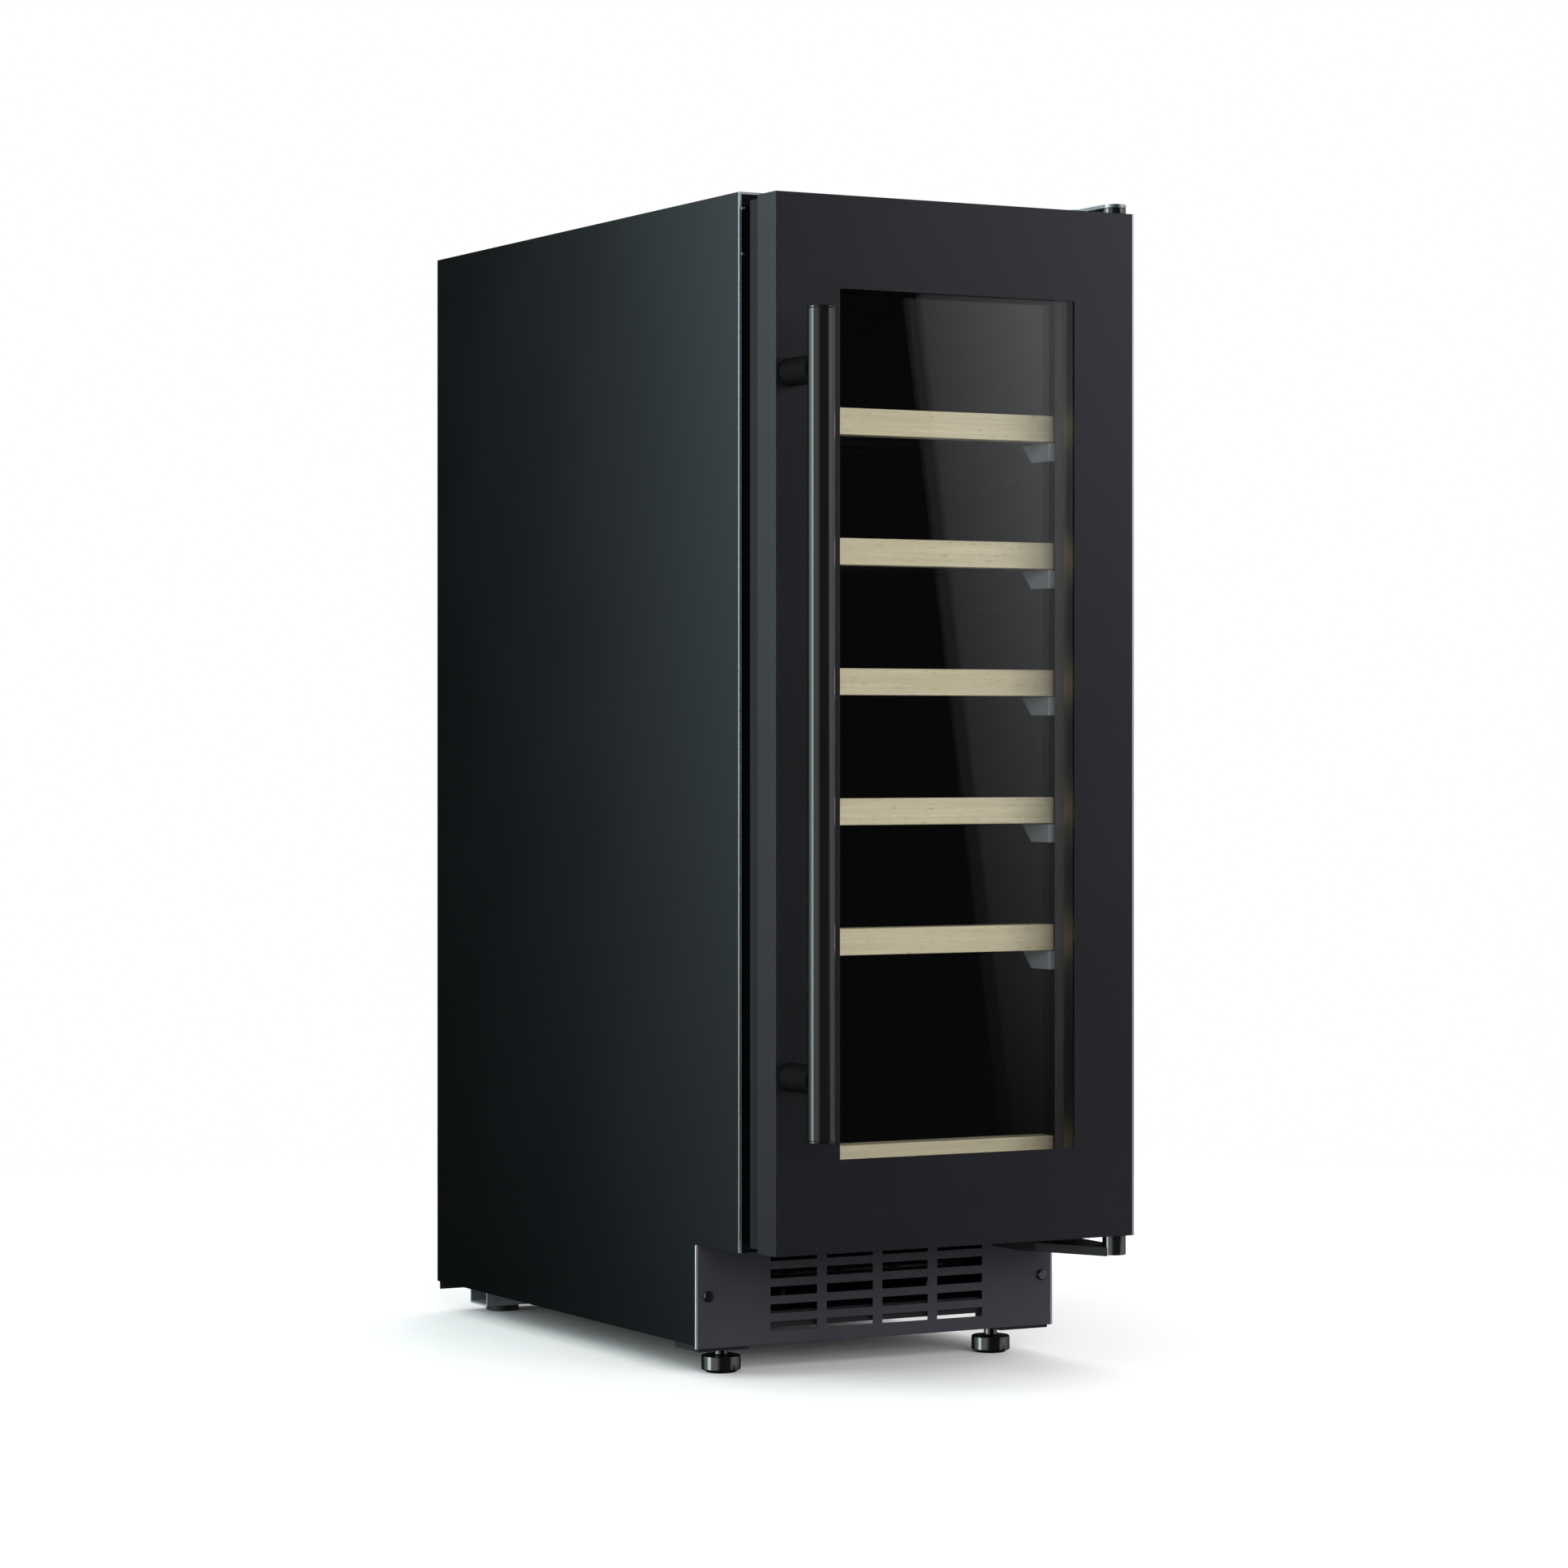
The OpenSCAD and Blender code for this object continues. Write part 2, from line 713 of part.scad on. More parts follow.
module evaporator_cover() {
    cover_y = 478;
    cover_t = 2;
    z0 = step_z + 0.5;
    grille_r = 42;
    row_pitch = 9;
    low_slot = [160, 4];
    low_slot_z = 305;
    color("#17181a") placed() difference() {
        union() {
            block([-liner_x + 0.5, cover_y, z0], [liner_x - 0.5, cover_y + cover_t, liner_ceiling - 0.5]);
            both_sides() block([liner_x - 4, cover_y, z0],
                [liner_x - 0.5, liner_back, liner_ceiling - 0.5]);
        }
        for (row = [0:8]) {
            z = evaporator_fan[2] + (row - 4) * row_pitch;
            reach = sqrt(pow(grille_r, 2) - pow(z - evaporator_fan[2], 2));
            block([-reach, cover_y - 1, z - 2], [reach, cover_y + cover_t + 1, z + 2]);
        }
        for (row = [0:5]) translate([-low_slot[0] / 2, cover_y - 1, low_slot_z + row * 12])
            cube([low_slot[0], cover_t + 2, low_slot[1]]);
    }
}

module evaporator_fan_frame() color("#222326") placed() fan_frame(evaporator_fan);

module evaporator_fan_rotor() color("#3a3c40") placed() fan_rotor(evaporator_fan);

// Controls, light and power

module control_housing() {
    color("#17181a") placed() difference() {
        block([-control_half, control_y, control_z],
            [control_half, control_y + control_d, liner_ceiling]);
        block([-panel_half, control_y - 1, control_z + 2],
            [panel_half, control_y + 3, liner_ceiling - 2]);
        block([6 - control_half, control_y + 6, control_z + 2],
            [control_half - 6, control_y + control_d - 4, liner_ceiling + 1]);
    }
}

module control_panel() {
    color("#08090a") placed()
        block([0.2 - panel_half, control_y + 1, control_z + 2.2],
            [panel_half - 0.2, control_y + 3, liner_ceiling - 2.2]);
}

module light_diffuser() {
    size = [160, 14, 7];
    color("#e8ecef") placed()
        translate([-size[0] / 2, light_y, liner_ceiling - size[2]]) cube(size);
}

module power_inlet() {
    flange = [48, 2.5, 25];
    body_d = 22;
    pin_half = [1, 2];
    color("#0e0e0f") placed() translate([inlet_x, rear_y, inlet_z]) {
        difference() {
            union() {
                translate([-flange[0] / 2, 0, -flange[2] / 2]) cube(flange);
                block([-inlet_w / 2 + 0.2, -body_d, -inlet_h / 2 + 0.2],
                    [inlet_w / 2 - 0.2, eps, inlet_h / 2 - 0.2]);
            }
            block([-socket[0] / 2, -socket[1], -socket[2] / 2], [socket[0] / 2, 3, socket[2] / 2]);
        }
        for (pin = [[-7, -2], [0, 2], [7, -2]])
            block([pin[0] - pin_half[0], -socket[1] - 1, pin[1] - pin_half[1]],
                [pin[0] + pin_half[0], 0, pin[1] + pin_half[1]]);
    }
}

// Door

module bush_places() {
    translate([pivot_x, pivot_y, door_z]) children();
    translate([pivot_x, pivot_y, door_top]) mirror([0, 0, 1]) children();
}

module handle_post_places() {
    for (z = [handle_z + post_inset, handle_z + handle_len - post_inset])
        translate([handle_inset - half_w, 0, z]) children();
}

module door_front_frame() {
    color("#2b2b30") placed() difference() {
        block([-half_w, 0, door_z], [half_w, door_wrap_d, door_top]);
        block([-half_w + door_sheet_t, door_sheet_t, door_z + door_sheet_t],
            [half_w - door_sheet_t, door_wrap_d + 1, door_top - door_sheet_t]);
        block([-window_x, -1, window_z0], [window_x, 3, window_z1]);
        bush_places() translate([0, 0, -1]) cylinder(d = bush_dia, h = 4);
        handle_post_places() rod_y([0, -1, 0], handle_screw_dia + 0.2, 4);
    }
}

module door_foam() {
    edge = door_sheet_t;
    color("#d8c690") placed() difference() {
        ring(half_w - edge, door_z + edge, door_top - edge, edge, unit_back, pane_x,
            window_z0 - pane_grip, window_z1 + pane_grip);
        bush_places() translate([0, 0, -1]) cylinder(d = bush_dia, h = pin_len + 4);
        handle_post_places() rod_y([0, 0, 0], 10, 6);
    }
}

module pane(y) {
    block([-pane_x, y, window_z0 - pane_grip], [pane_x, y + pane_t, window_z1 + pane_grip]);
}

module outer_pane() color("#1a1f22", 0.5) placed() pane(door_sheet_t);

module inner_pane() color("#1a1f22", 0.5) placed() pane(unit_back - pane_t);

module glass_spacer() {
    inner = pane_grip - spacer_w;
    color("#55595b") placed() ring(pane_x, window_z0 - pane_grip, window_z1 + pane_grip,
        door_sheet_t + pane_t, unit_back - pane_t, window_x + inner, window_z0 - inner,
        window_z1 + inner);
}

module door_inner_frame() {
    x = half_w - inner_frame_inset;
    color("#0e0f10") placed() ring(x, door_z + inner_frame_inset, door_top - inner_frame_inset,
        unit_back, door_d, window_x + inner_reveal, window_z0 - inner_reveal,
        window_z1 + inner_reveal);
}

// One layer of the gasket: a ring of the given width, set in from the gasket's outer edge
module gasket_layer(y0, y1, inset, w) {
    x = gasket_x - inset;
    z0 = door_z + half_w - gasket_x + inset;
    z1 = door_top - half_w + gasket_x - inset;
    ring(x, z0, z1, y0, y1, x - w, z0 + w, z1 - w);
}

module door_gasket() {
    back = door_d + gasket_d;
    color("#0a0a0b") placed() {
        gasket_layer(door_d, door_d + 2.4, 2, gasket_w - 4);
        gasket_layer(door_d, back - 5, 7, gasket_w - 14);
        gasket_layer(back - 6.5, back, 0, gasket_w);
    }
}

module door_bushes() {
    color("#e4e4de") placed() bush_places() difference() {
        cylinder(d = bush_dia, h = pin_len + 3);
        translate([0, 0, -eps]) cylinder(d = pin_dia + 2 * fit_gap, h = pin_len + 0.5);
    }
}

module handle_bar() {
    color("#0b0c0d") placed() translate([handle_inset - half_w, -handle_out, handle_z])
        difference() {
            cylinder(d = handle_dia, h = handle_len);
            translate([0, 0, -1]) cylinder(d = handle_dia - 2 * handle_wall, h = handle_len + 2);
        }
}

// Each post is hollowed at its end to seat the tube
module handle_posts() {
    reach = handle_out - 5;
    color("#0b0c0d") placed() difference() {
        handle_post_places() rod_y([0, -reach, 0], post_dia, reach);
        rod_z([handle_inset - half_w, -handle_out, handle_z], handle_dia, handle_len);
        handle_post_places() rod_y([0, -16, 0], handle_screw_dia + 0.1, 20);
    }
}

module handle_end_caps() {
    cap_t = 1.6;
    plug_h = 10;
    plug_dia = handle_dia - 2 * handle_wall;
    color("#0b0c0d") placed() translate([handle_inset - half_w, -handle_out, 0]) {
        rod_z([0, 0, handle_z - cap_t], handle_dia, cap_t);
        rod_z([0, 0, handle_z - cap_t], plug_dia, cap_t + plug_h);
        rod_z([0, 0, handle_z + handle_len], handle_dia, cap_t);
        rod_z([0, 0, handle_z + handle_len - plug_h], plug_dia, cap_t + plug_h);
    }
}

module handle_screws() {
    reach = 14;
    head = [9, 3];
    color("#8d9294") placed() handle_post_places() {
        rod_y([0, -reach, 0], handle_screw_dia, reach + door_sheet_t + head[1]);
        rod_y([0, door_sheet_t, 0], head[0], head[1]);
    }
}

// Shelves

module shelf_front(i) {
    color("#c8b98f") placed() block([-shelf_w / 2, shelf_y, shelf_z[i] - shelf_h],
        [shelf_w / 2, shelf_y + front_t, shelf_z[i]]);
}

// A wire rack: side wires that rest on the runners, cross wires between them, and two wires under
// each bottle
module shelf_rack(i) {
    y0 = shelf_y + front_t;
    len = shelf_len[i] - front_t;
    side_x = rack_x - side_wire_dia / 2;
    cross_x = side_x - side_wire_dia / 2 - weld_gap;
    frame_z = shelf_z[i] - shelf_h + side_wire_dia / 2;
    cradle_z = frame_z + (cross_wire_dia + cradle_wire_dia) / 2 + weld_gap;
    end_gap = 8;
    step = (len - 2 * end_gap) / (cross_wire_count - 1);
    color("#0c0c0d") placed() {
        both_sides() {
            rod_y([side_x, y0, frame_z], side_wire_dia, len);
            for (x = [cradle_x - cradle_reach, cradle_x + cradle_reach])
                rod_y([x, y0, cradle_z], cradle_wire_dia, len - 3);
        }
        for (n = [0:cross_wire_count - 1])
            rod_x([-cross_x, y0 + end_gap + n * step, frame_z], cross_wire_dia, 2 * cross_x);
    }
}

// Front feet

// A disc on a narrower base, and a stud
module front_foot(x) {
    base_dia = foot_dia - 6;
    color("#111213") placed() translate([x, foot_y, 0]) {
        cylinder(d = base_dia, h = foot_h);
        rod_z([0, 0, foot_step], foot_dia, foot_h - foot_step);
        cylinder(d = stud_dia, h = foot_len);
    }
}

outer_casing();
rear_panel();
rear_grille();
panel_screws();
inner_liner();
shelf_runners();
insulation_foam();
bay_plate();
base_pan();
rear_rail();
rear_feet();
foot_brackets();
kick_plate();
top_hinge_plate();
bottom_hinge_plate();
hinge_pins();
hinge_screws();
compressor();
compressor_mounts();
relay_box();
condenser();
condenser_fan_frame();
condenser_fan_rotor();
drip_tray();
filter_drier();
refrigerant_pipes();
evaporator();
evaporator_cover();
evaporator_fan_frame();
evaporator_fan_rotor();
control_housing();
control_panel();
light_diffuser();
power_inlet();
door_front_frame();
door_foam();
outer_pane();
glass_spacer();
inner_pane();
door_inner_frame();
door_gasket();
door_bushes();
handle_bar();
handle_posts();
handle_end_caps();
handle_screws();
shelf_front(0);  // shelf_1_front
shelf_rack(0);  // shelf_1_rack
shelf_front(1);  // shelf_2_front
shelf_rack(1);  // shelf_2_rack
shelf_front(2);  // shelf_3_front
shelf_rack(2);  // shelf_3_rack
shelf_front(3);  // shelf_4_front
shelf_rack(3);  // shelf_4_rack
shelf_front(4);  // shelf_5_front
shelf_rack(4);  // shelf_5_rack
shelf_front(5);  // shelf_6_front
shelf_rack(5);  // shelf_6_rack
front_foot(-foot_x);  // left_foot
front_foot(foot_x);  // right_foot
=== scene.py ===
"""Looks, light and camera for the wine cooler. Lengths are in metres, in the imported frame."""
import json
import math

import bpy
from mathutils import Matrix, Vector


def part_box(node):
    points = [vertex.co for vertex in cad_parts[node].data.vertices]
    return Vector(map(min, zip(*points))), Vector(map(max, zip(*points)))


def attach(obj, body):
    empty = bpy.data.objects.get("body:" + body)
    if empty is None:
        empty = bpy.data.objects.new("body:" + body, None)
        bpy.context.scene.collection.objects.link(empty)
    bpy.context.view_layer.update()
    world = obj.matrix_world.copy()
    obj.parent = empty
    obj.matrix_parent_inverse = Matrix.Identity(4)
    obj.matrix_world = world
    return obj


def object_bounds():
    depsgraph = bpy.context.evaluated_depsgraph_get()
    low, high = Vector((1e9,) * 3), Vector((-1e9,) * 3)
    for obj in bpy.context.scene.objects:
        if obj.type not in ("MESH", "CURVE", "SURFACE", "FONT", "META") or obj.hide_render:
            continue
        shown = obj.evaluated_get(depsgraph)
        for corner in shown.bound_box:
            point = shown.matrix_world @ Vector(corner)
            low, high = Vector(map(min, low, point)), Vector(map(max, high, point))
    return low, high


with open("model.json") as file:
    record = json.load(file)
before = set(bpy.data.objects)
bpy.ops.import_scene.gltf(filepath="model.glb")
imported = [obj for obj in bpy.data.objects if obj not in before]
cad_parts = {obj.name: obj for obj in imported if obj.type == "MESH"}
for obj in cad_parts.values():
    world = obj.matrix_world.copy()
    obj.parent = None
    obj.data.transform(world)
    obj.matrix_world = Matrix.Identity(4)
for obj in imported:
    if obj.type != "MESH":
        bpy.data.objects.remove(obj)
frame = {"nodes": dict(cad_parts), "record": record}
CAD_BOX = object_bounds()
NODES = frame["nodes"]
BODIES = frame["record"]["behaviour"]["bodies"]
BODY_OF = {node: body for body, nodes in BODIES.items() for node in nodes}
SLOT_OF = {part["node"]: part["material_slot"] for part in frame["record"]["subparts"]}
FLOOR_Z = CAD_BOX[0].z

CASING_LOW, CASING_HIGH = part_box("outer_casing")
WINDOW_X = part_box("outer_pane")[1].x
REVEAL_X = WINDOW_X - 0.0035  # just outside the faces that surround the window, which carry painted light
SHELF_PITCH = 0.0929
RAIL_LIT_END = 0.036  # length of the lit grey front end of a rail; behind it is painted shadow
# depth of the lit top of a rail; below it is painted shadow
RAIL_LIT_DEPTH = 0.013

# ---------------------------------------------------------------- camera

VIEW_AZIMUTH = math.radians(28.6)
CAMERA_DISTANCE = 3.426
CAMERA_HEIGHT = 0.4557
CAMERA_LENS = 103.7
CAMERA_SHIFT = -0.0265


def make_camera():
    """A level camera at the front left."""
    look = Vector((math.sin(VIEW_AZIMUTH), math.cos(VIEW_AZIMUTH), 0))
    camera = bpy.data.objects.new("camera", bpy.data.cameras.new("camera"))
    bpy.context.scene.collection.objects.link(camera)
    camera.location = Vector((0, 0, CAMERA_HEIGHT)) - look * CAMERA_DISTANCE
    camera.rotation_euler = look.to_track_quat("-Z", "Y").to_euler()
    camera.data.lens = CAMERA_LENS
    camera.data.shift_y = CAMERA_SHIFT
    camera.data.clip_start = 0.01
    bpy.context.scene.camera = camera


make_camera()

# ---------------------------------------------------------------- node helpers


class Tree:
    """A new material, with short ways to add nodes to it."""

    def __init__(self, name):
        self.material = bpy.data.materials.new(name)
        self.material.use_nodes = True
        self.nodes = self.material.node_tree.nodes
        self.links = self.material.node_tree.links
        self.shader = self.nodes["Principled BSDF"]
        self.place = self.add("TexCoord").outputs["Object"]

    def add(self, kind, inputs=None, **settings):
        made = self.nodes.new("ShaderNode" + kind)
        for key, value in settings.items():
            setattr(made, key, value)
        for key, value in (inputs or {}).items():
            self.put(made.inputs[key], value)
        return made

    def put(self, socket, value):
        if isinstance(value, bpy.types.NodeSocket):
            self.links.new(value, socket)
        else:
            socket.default_value = value

    def math(self, operation, a, b=0.0):
        return self.add("Math", {0: a, 1: b}, operation=operation).outputs[0]

    def span(self, value, low, high, to_low=0.0, to_high=1.0):
        """value carried from one range to another, held at the ends."""
        made = self.add("MapRange", {0: value, 1: low, 2: high, 3: to_low, 4: to_high})
        return made.outputs[0]

    def mix(self, factor, a, b):
        made = self.add("Mix", data_type="RGBA")
        for socket, value in zip((made.inputs[0], made.inputs[6], made.inputs[7]), (factor, a, b)):
            self.put(socket, value)
        return made.outputs[2]

    def stretched(self, scale):
        return self.add("Mapping", {"Vector": self.place, "Scale": scale}).outputs[0]

    def noise(self, scale, detail=2.0, roughness=0.5, vector=None):
        inputs = {"Scale": scale, "Detail": detail, "Roughness": roughness}
        inputs["Vector"] = vector or self.place
        return self.add("TexNoise", inputs).outputs["Fac"]

    def axes(self):
        """X, Y and Z of the place on the piece."""
        return self.add("SeparateXYZ", {0: self.place}).outputs

    def bump(self, height, distance, strength=1.0, normal=None):
        inputs = {"Height": height, "Distance": distance, "Strength": strength}
        if normal is not None:
            inputs["Normal"] = normal
        return self.add("Bump", inputs).outputs[0]

    def finish(self, **values):
        for name, value in values.items():
            self.put(self.shader.inputs[name.replace("_", " ")], value)
        return self.material


def shade(colour, by=1.0):
    return (colour[0] * by, colour[1] * by, colour[2] * by, 1.0)


# ---------------------------------------------------------------- materials


WHITE = (1.0, 1.0, 1.0)
TEAL = (0.80, 0.95, 1.0)
VIOLET = (0.93, 0.92, 1.0)
# Bare metal for the painted edge highlights: a bright strip on the front edges stands in for the light
# they catch
HIGHLIGHT_STEEL = (0.72, 0.76, 0.78)
HIGHLIGHT_REACH = 0.0016  # how far the painted edge highlight of bare metal reaches
HIGHLIGHT_ROUGHNESS = 0.32


def apart(t, plane, axis, both=False):
    """Distance inside a plane across an axis, counted in widths of the painted edge highlight."""
    place = t.axes()[axis]
    if both:
        place = t.math("ABSOLUTE", place)
    return t.math("ABSOLUTE", t.math("DIVIDE", t.math("SUBTRACT", place, plane), HIGHLIGHT_REACH))


# Masks for the painted edge highlights: bare metal along these edges stands in for the light they catch
def casing_edges(t):
    """The front edges of the casing, at its sides and its top."""
    outer = t.math("MINIMUM", apart(t, CASING_HIGH.x, 0, True), apart(t, CASING_HIGH.z, 2))
    return t.math("MAXIMUM", outer, apart(t, CASING_LOW.y, 1))


def door_edge(t):
    """The door's front edge at the hinge side."""
    low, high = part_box("door_front_frame")
    return t.math("MAXIMUM", apart(t, high.x, 0), apart(t, low.y, 1))


def kick_ends(t):
    """The two ends of the kick plate."""
    return apart(t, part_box("kick_plate")[1].x, 0, True)


PEEL_SIZE = 0.0011  # size of the bumps of the orange peel
CLOUD_SCALE = 7.0
SPECK_SCALE = 900.0


def coated_metal(name, colour, roughness, peel=0.00003, tint=WHITE, ior=1.5, edge_highlight_mask=None):
    """Powder-coated or enamelled sheet: orange peel, faint dust, and a painted edge highlight of bright
    bare metal along the masked edges.
    """
    t = Tree(name)
    peel_height = t.noise(1 / PEEL_SIZE, 3.0, 0.6)
    cloud = t.noise(CLOUD_SCALE, 4.0)
    speck = t.noise(SPECK_SCALE, 1.0)
    base = t.mix(t.span(cloud, 0.3, 0.7), shade(colour, 0.88), shade(colour, 1.14))
    base = t.mix(t.span(speck, 0.74, 0.82, 0.0, 0.35), base, shade(colour, 2.2))
    rough = t.span(cloud, 0.25, 0.75, roughness * 0.93, roughness * 1.07)
    # painted highlight: bright bare metal along the masked edges stands in for the light the edges
    # catch
    if edge_highlight_mask:
        edge_highlight = t.span(edge_highlight_mask(t), 0.75, 1.0, 1.0, 0.0)
        base = t.mix(edge_highlight, base, shade(HIGHLIGHT_STEEL))
        rough = t.span(edge_highlight, 0.0, 1.0, rough, HIGHLIGHT_ROUGHNESS)
        t.finish(Metallic=edge_highlight)
    return t.finish(Base_Color=base, Roughness=rough, Normal=t.bump(peel_height, peel), IOR=ior,
                    Specular_Tint=shade(tint))


GRAIN_SCALE = 1400.0  # spark-eroded grain
GRAIN_DEPTH = 0.00004
FLOW_SCALE = 14.0
MATT_IOR = 1.3


def grained(t):
    """The normal of a spark-eroded grain, and a slow noise for the flow marks."""
    cells = t.add("TexVoronoi", {"Scale": GRAIN_SCALE, "Vector": t.place}).outputs["Distance"]
    return t.bump(cells, GRAIN_DEPTH), t.noise(FLOW_SCALE, 3.0)


def moulded_plastic(name, colour, roughness):
    """Moulded plastic with a spark-eroded grain and slight flow marks."""
    t = Tree(name)
    normal, flow = grained(t)
    base = t.mix(t.span(flow, 0.35, 0.65), shade(colour, 0.9), shade(colour, 1.12))
    rough = t.span(flow, 0.3, 0.7, roughness * 0.92, roughness * 1.08)
    return t.finish(Base_Color=base, Roughness=rough, Normal=normal, IOR=1.46)


def rail_plastic():
    """Grey plastic, lit at the top front corner of each rail, with painted shadow in black behind and
    below it.
    """
    t = Tree("rail_plastic")
    normal, flow = grained(t)
    low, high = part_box("shelf_runners")
    _, y, z = t.axes()
    back = t.math("SUBTRACT", y, low.y)
    down = t.math("MODULO", t.math("SUBTRACT", high.z, z), SHELF_PITCH)
    # painted shadow: black behind a slanted edge and below the top of the rail; the grey front corner
    # is the lit part
    slanted_shadow = t.span(t.math("ADD", back, down), RAIL_LIT_END, RAIL_LIT_END + 0.003)
    painted_shadow = t.math("MAXIMUM", slanted_shadow, t.span(down, RAIL_LIT_DEPTH, RAIL_LIT_DEPTH + 0.001))
    lit_grey = t.mix(flow, shade((0.36, 0.37, 0.39)), shade((0.44, 0.45, 0.47)))
    base = t.mix(painted_shadow, lit_grey, shade((0.006, 0.006, 0.006)))
    rough = t.span(flow, 0.3, 0.7, 0.42, 0.5)
    return t.finish(Base_Color=base, Roughness=rough, Normal=normal, IOR=MATT_IOR)


def inner_frame_plastic():
    """Matt black plastic, with painted light: grey on the faces around the window, where light falls
    into the reveal.
    """
    t = Tree("inner_frame_plastic")
    normal, flow = grained(t)
    across = t.math("ABSOLUTE", t.axes()[0])
    # painted light: the reveal faces inside REVEAL_X are lighter grey, and the outer faces stay black
    outer = t.span(across, REVEAL_X, REVEAL_X + 0.001)
    lit_grey = t.mix(flow, shade((0.085, 0.083, 0.085)), shade((0.115, 0.112, 0.115)))
    base = t.mix(outer, lit_grey, shade((0.003, 0.003, 0.003)))
    rough = t.span(flow, 0.3, 0.7, 0.5, 0.6)
    return t.finish(Base_Color=base, Roughness=rough, Normal=normal, IOR=MATT_IOR)


def bare_metal(name, colour, roughness, grain_scale, spangle=0.0):
    """Rolled or brushed metal, with zinc spangle where it is galvanised."""
    t = Tree(name)
    lines = t.noise(1.0, 4.0, 0.6, t.stretched(grain_scale))
    stain = t.noise(22.0, 4.0)
    base = t.mix(t.span(lines, 0.3, 0.7), shade(colour, 0.86), shade(colour, 1.1))
    rough = t.span(lines, 0.3, 0.7, roughness * 0.8, roughness * 1.2)
    if spangle:
        crystal = t.add("TexVoronoi", {"Scale": 1 / spangle, "Vector": t.place}).outputs["Color"]
        tone = t.add("SeparateColor", {0: crystal}).outputs[0]
        base = t.mix(t.span(tone, 0.0, 1.0, 0.0, 0.5), base, shade(colour, 0.6))
        rough = t.math("ADD", rough, t.span(tone, 0.0, 1.0, -0.05, 0.1))
    base = t.mix(t.span(stain, 0.58, 0.75, 0.0, 0.4), base, shade(colour, 0.55))
    return t.finish(Base_Color=base, Roughness=rough, Metallic=1.0, Normal=t.bump(lines, 0.00002))


def beech():
    """Planed beech under matt oil: straight grain along X, short ray flecks and faint growth bands."""
    light, mid, dark = (0.680, 0.570, 0.400), (0.590, 0.480, 0.325), (0.330, 0.225, 0.120)
    t = Tree("beech")
    fibre = t.noise(1.0, 5.0, 0.65, t.stretched((9.0, 420.0, 420.0)))
    band = t.noise(1.0, 2.0, 0.5, t.stretched((2.5, 60.0, 60.0)))
    fleck = t.noise(1.0, 1.0, 0.5, t.stretched((160.0, 1500.0, 1500.0)))
    base = t.mix(t.span(band, 0.3, 0.7), shade(light), shade(mid))
    base = t.mix(t.span(fibre, 0.35, 0.75, 0.0, 0.6), base, shade(mid, 0.74))
    base = t.mix(t.span(fleck, 0.66, 0.74, 0.0, 0.7), base, shade(dark))
    rough = t.span(fibre, 0.3, 0.7, 0.45, 0.62)
    grain = t.bump(fibre, 0.00006)
    pores = t.bump(fleck, -0.00005, 1.0, grain)
    return t.finish(Base_Color=base, Roughness=rough, Normal=pores, IOR=1.5)


FACE_ON = 0.043  # share of light that one pane mirrors face on


def window_glass():
    """Lightly tinted float glass. A thin pane bends nothing visibly, so what is behind shows unbent."""
    t = Tree("window_glass")
    smear = t.noise(5.0, 3.0)
    clear = t.add("BsdfTransparent", {"Color": shade((0.955, 0.965, 0.965))})
    rough = t.span(smear, 0.3, 0.7, 0.0, 0.003)
    mirror = t.add("BsdfGlossy", {"Color": shade((1, 1, 1)), "Roughness": rough})
    facing = t.add("LayerWeight", {"Blend": 0.5}).outputs["Facing"]
    share = t.math("MULTIPLY_ADD", t.math("POWER", facing, 5.0), 1.0 - FACE_ON)
    share.node.inputs[2].default_value = FACE_ON
    both = t.add("MixShader", {0: share, 1: clear.outputs[0], 2: mirror.outputs[0]})
    output = t.nodes["Material Output"]
    t.links.new(both.outputs[0], output.inputs["Surface"])
    t.nodes.remove(t.shader)
    return t.material


def rubber():
    """Black moulded rubber with a bloom of dust."""
    t = Tree("gasket_rubber")
    bloom = t.noise(60.0, 4.0)
    dust = t.span(bloom, 0.45, 0.75, 0.0, 0.6)
    base = t.mix(dust, shade((0.004, 0.004, 0.0045)), shade((0.014, 0.014, 0.015)))
    return t.finish(Base_Color=base, Roughness=t.span(bloom, 0.3, 0.7, 0.55, 0.72),
                    Normal=t.bump(t.noise(1500.0, 2.0), 0.00003), IOR=1.5)


def foam():
    """Cream polyurethane foam with open cells."""
    t = Tree("foam")
    cells = t.add("TexVoronoi", {"Scale": 420.0, "Vector": t.place}).outputs["Distance"]
    base = t.mix(t.span(cells, 0.1, 0.6), shade((0.42, 0.31, 0.14)), shade((0.66, 0.54, 0.30)))
    return t.finish(Base_Color=base, Roughness=0.9, Normal=t.bump(cells, 0.0004))


def diffuser():
    """Opal plastic with fine cross ribs, over a lamp that is off."""
    t = Tree("diffuser")
    ribs = t.add("TexWave", {"Scale": 90.0, "Vector": t.place}, bands_direction="X").outputs["Fac"]
    base = t.mix(t.noise(30.0), shade((0.70, 0.73, 0.76)), shade((0.80, 0.82, 0.84)))
    return t.finish(Base_Color=base, Roughness=0.32, Normal=t.bump(ribs, 0.0002), IOR=1.5)


TOUCH_PITCH = 0.016
TOUCH_R = 0.0032


